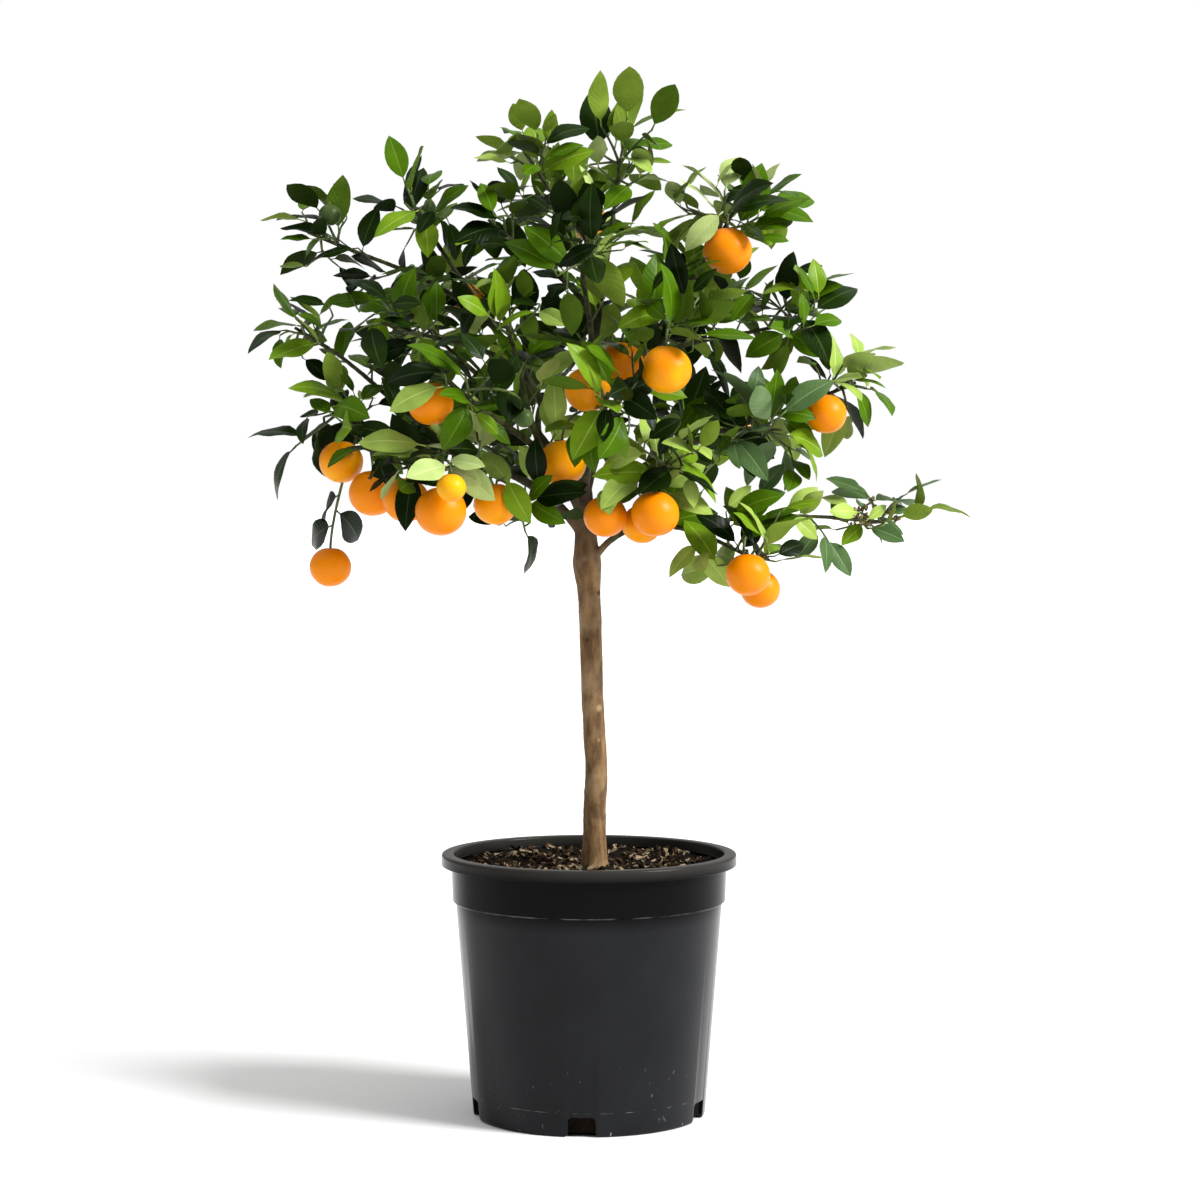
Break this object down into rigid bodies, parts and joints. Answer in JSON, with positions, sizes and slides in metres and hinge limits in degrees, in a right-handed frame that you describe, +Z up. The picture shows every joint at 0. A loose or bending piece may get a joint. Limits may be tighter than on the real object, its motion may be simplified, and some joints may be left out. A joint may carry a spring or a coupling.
{
  "type": "potted calamondin orange tree",
  "caption": "Small standard citrus tree with a bare trunk, a rounded leafy crown and hanging orange fruit, standing in a round black nursery pot.",
  "frame": {"origin": "middle of the pot's flat underside", "axes": "+Z up along the pot, -Y towards the side seen from the front, +X to the right of that view"},
  "size_m": [0.5617, 0.3907, 0.7973],
  "materials": {
    "pot_plastic": "satin black polypropylene with fine scuffs",
    "potting_soil": "dark moist potting mix with light bark chips",
    "trunk_bark": "smooth tan-brown bark with small scars",
    "bough_bark": "green-brown young bark",
    "foliage": "glossy citrus leaves with ripe orange fruit"
  },
  "bodies": {
    "root": {"pot": "pot_plastic", "soil": "potting_soil", "trunk": "trunk_bark", "bough_top": "bough_bark", "bough_upper_left": "bough_bark", "bough_left_low": "bough_bark", "bough_left_front": "bough_bark", "bough_centre_front": "bough_bark", "bough_right_low": "bough_bark", "bough_upper_right": "bough_bark", "bough_right_far": "bough_bark", "bough_back_left": "bough_bark", "bough_top_left": "bough_bark", "bough_upper_mid": "bough_bark", "bough_centre_high": "bough_bark", "bough_back_top": "bough_bark", "bough_left_high": "bough_bark", "bough_left_inner": "bough_bark", "bough_left_mid": "bough_bark", "bough_left_front_low": "bough_bark", "bough_back_low_left": "bough_bark", "bough_left_centre": "bough_bark", "bough_low_centre": "bough_bark", "bough_centre_right": "bough_bark", "bough_centre_low_right": "bough_bark", "bough_right_long": "bough_bark", "bough_right_high": "bough_bark", "bough_back_right": "bough_bark", "bough_right_mid": "bough_bark", "bough_back_low_right": "bough_bark", "bough_back_centre": "bough_bark", "foliage_top": "foliage", "foliage_upper_left": "foliage", "foliage_left_low": "foliage", "foliage_left_front": "foliage", "foliage_centre_front": "foliage", "foliage_right_low": "foliage", "foliage_upper_right": "foliage", "foliage_right_far": "foliage", "foliage_back_left": "foliage", "foliage_top_left": "foliage", "foliage_upper_mid": "foliage", "foliage_centre_high": "foliage", "foliage_back_top": "foliage", "foliage_left_high": "foliage", "foliage_left_inner": "foliage", "foliage_left_mid": "foliage", "foliage_left_front_low": "foliage", "foliage_back_low_left": "foliage", "foliage_left_centre": "foliage", "foliage_low_centre": "foliage", "foliage_centre_right": "foliage", "foliage_centre_low_right": "foliage", "foliage_right_long": "foliage", "foliage_right_high": "foliage", "foliage_back_right": "foliage", "foliage_right_mid": "foliage", "foliage_back_low_right": "foliage", "foliage_back_centre": "foliage"}
  },
  "joints": []
}
